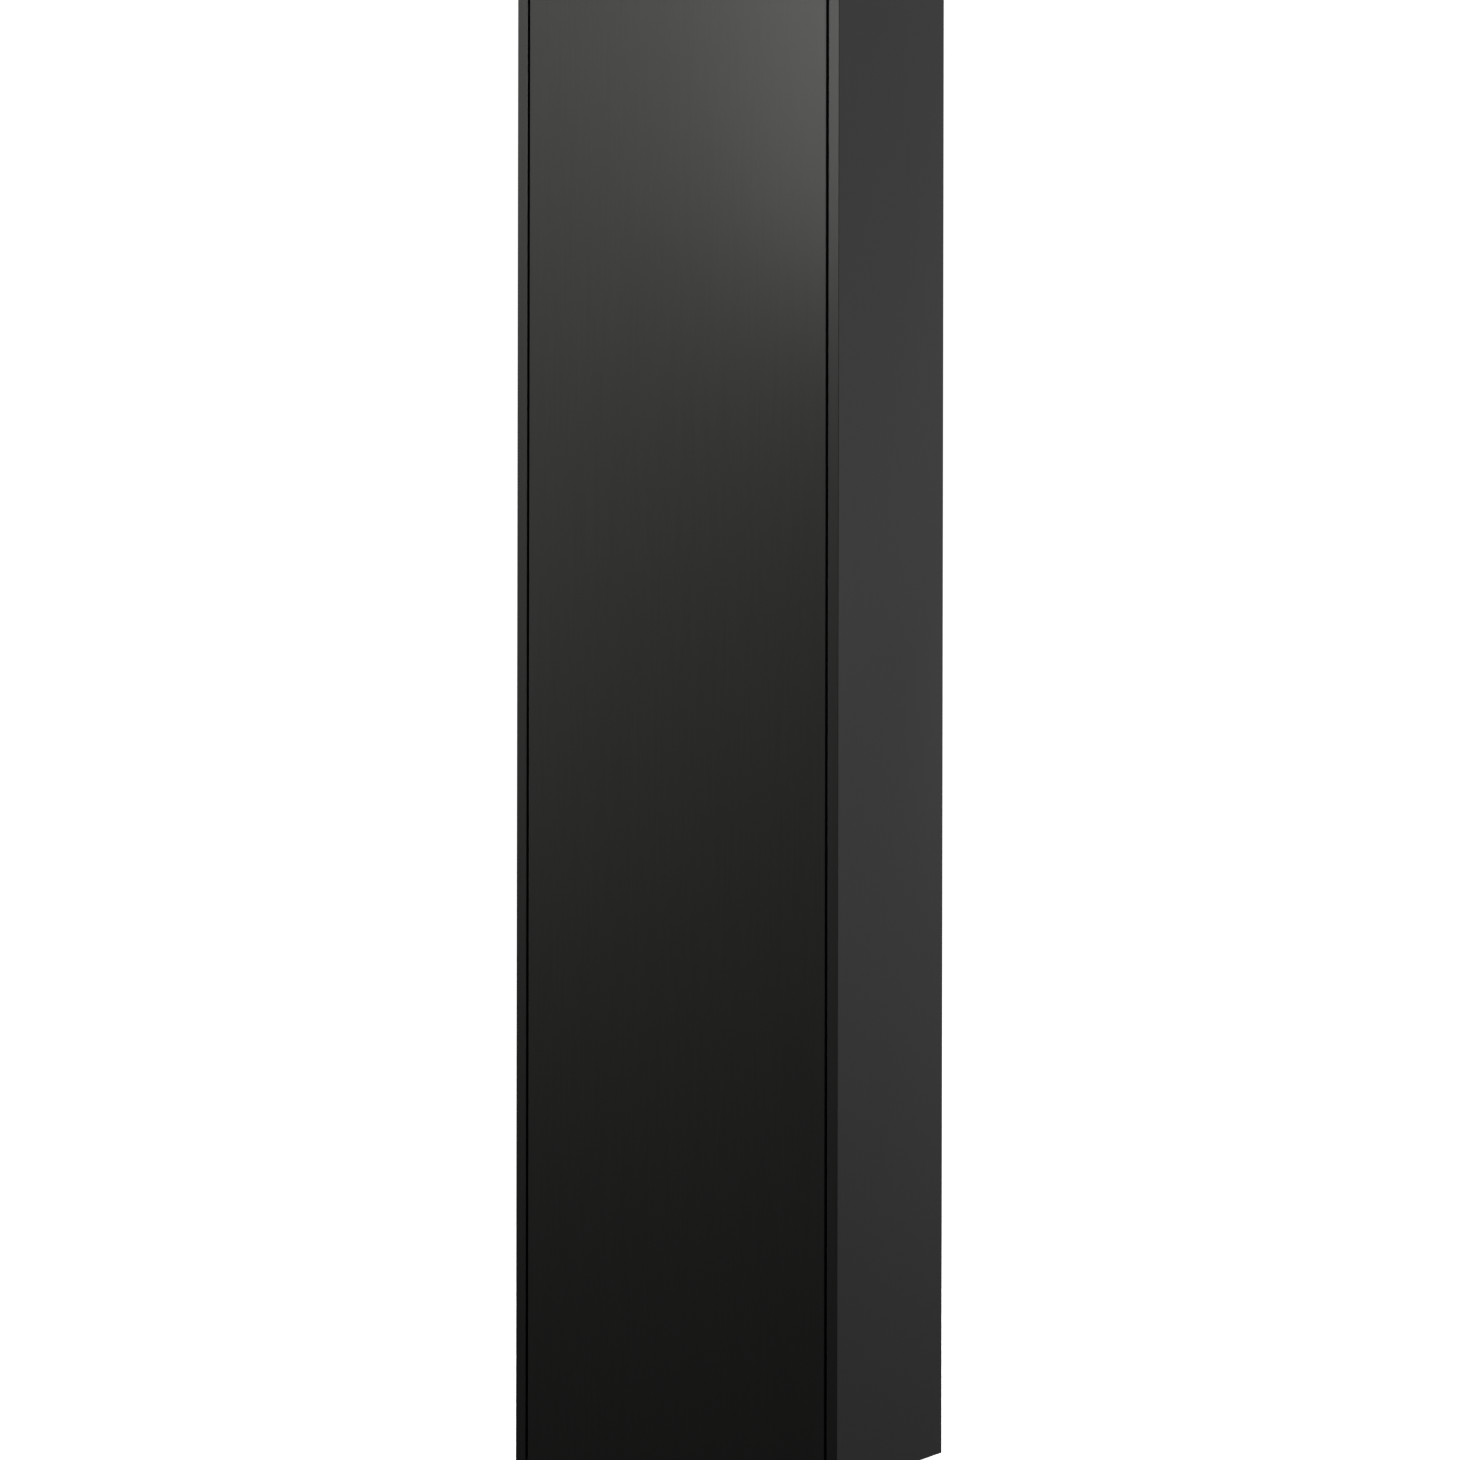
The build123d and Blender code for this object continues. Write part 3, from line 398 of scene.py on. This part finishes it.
def levels(fac, stops):
    """Brightness along a value from -1 to 1; each stop is a value and a brightness."""
    spread = tree.nodes.new("ShaderNodeMapRange")
    spread.inputs["From Min"].default_value = -1.0
    spread.inputs["From Max"].default_value = 1.0
    tree.links.new(fac, spread.inputs["Value"])
    made = tree.nodes.new("ShaderNodeValToRGB")
    points = made.color_ramp.elements
    while len(points) < len(stops):
        points.new(0.5)
    for point, (value, bright) in zip(points, stops):
        point.position = value * 0.5 + 0.5
        point.color = (bright, bright, bright, 1.0)
    tree.links.new(spread.outputs["Result"], made.inputs["Fac"])
    return made.outputs["Color"]


def combined(blend, first, second):
    """Two brightnesses put together."""
    made = tree.nodes.new("ShaderNodeMix")
    made.data_type = "RGBA"
    made.blend_type = blend
    made.inputs["Factor"].default_value = 1.0
    tree.links.new(first, made.inputs[6])
    tree.links.new(second, made.inputs[7])
    return made.outputs[2]


backdrop = levels(facing((-math.sin(turn), math.cos(turn), 0.0)), ((0.90, 0.0), (0.965, 1.0)))
room = levels(facing((0.0, 1.0, 0.0)), ((-0.35, 0.012), (0.10, 0.56)))
height = levels(facing((0.0, 0.0, 1.0)), ((-0.14, 0.25), (-0.02, 1.0), (0.06, 1.0), (0.40, 0.6)))
surroundings = combined("MULTIPLY", room, height)
tree.links.new(combined("LIGHTEN", surroundings, backdrop), sky.inputs["Color"])
sky.inputs["Strength"].default_value = 1.05


def softbox(name, place, aim, size, power, gloss=True, body=True):
    """An area light that faces a point; gloss and body say which part of a surface it lights."""
    light = bpy.data.lights.new(name, "AREA")
    light.shape = "RECTANGLE"
    light.size, light.size_y = size
    light.energy = power
    made = bpy.data.objects.new(name, light)
    made.location = place
    made.rotation_euler = (Vector(aim) - Vector(place)).to_track_quat("-Z", "Y").to_euler()
    made.visible_camera = False
    made.visible_glossy = gloss
    made.visible_diffuse = body
    scene.collection.objects.link(made)
    return made


softbox("key", (-0.25, -1.18, 2.04), (0.0, -0.14, 1.70), (0.14, 0.6), 23.0, gloss=False)
sheen = softbox("sheen", (-0.13, -1.05, 1.69), (0.0, -0.14, 1.66), (0.3, 0.6), 4.2, body=False)
softbox("left_fill", (-0.90, -0.65, 0.90), (0.0, -0.14, 0.80), (0.3, 0.6), 1.8)
softbox("back_fill", (0.0, 1.90, 1.60), (0.0, 0.14, 1.20), (0.3, 1.2), 26.0, gloss=False)
softbox("top_fill", (0.0, 0.05, 3.20), (0.0, 0.05, 2.00), (0.3, 0.3), 14.0, gloss=False)
metal_glow = softbox("metal_glow", (0.10, -1.90, 1.30), (0.0, 0.0, 1.20), (0.9, 1.6), 5.0, body=False)


def linked(light, names, state):
    """Has a light reach only the named pieces, or leave them out."""
    pieces = bpy.data.collections.new(light.name + "_pieces")
    for name in names:
        pieces.objects.link(nodes[name])
    light.light_linking.receiver_collection = pieces
    for entry in pieces.collection_objects:
        entry.light_linking.link_state = state


# The sheen would hide the dial in the glass, and bare metal needs something pale to reflect
linked(sheen, ["hood_glass"], "EXCLUDE")
bare_metal = [name for name, finish in finishes.items() if finish in (brass, bright_brass, steel)]
linked(metal_glow, bare_metal, "INCLUDE")

scene.view_settings.view_transform = "Standard"
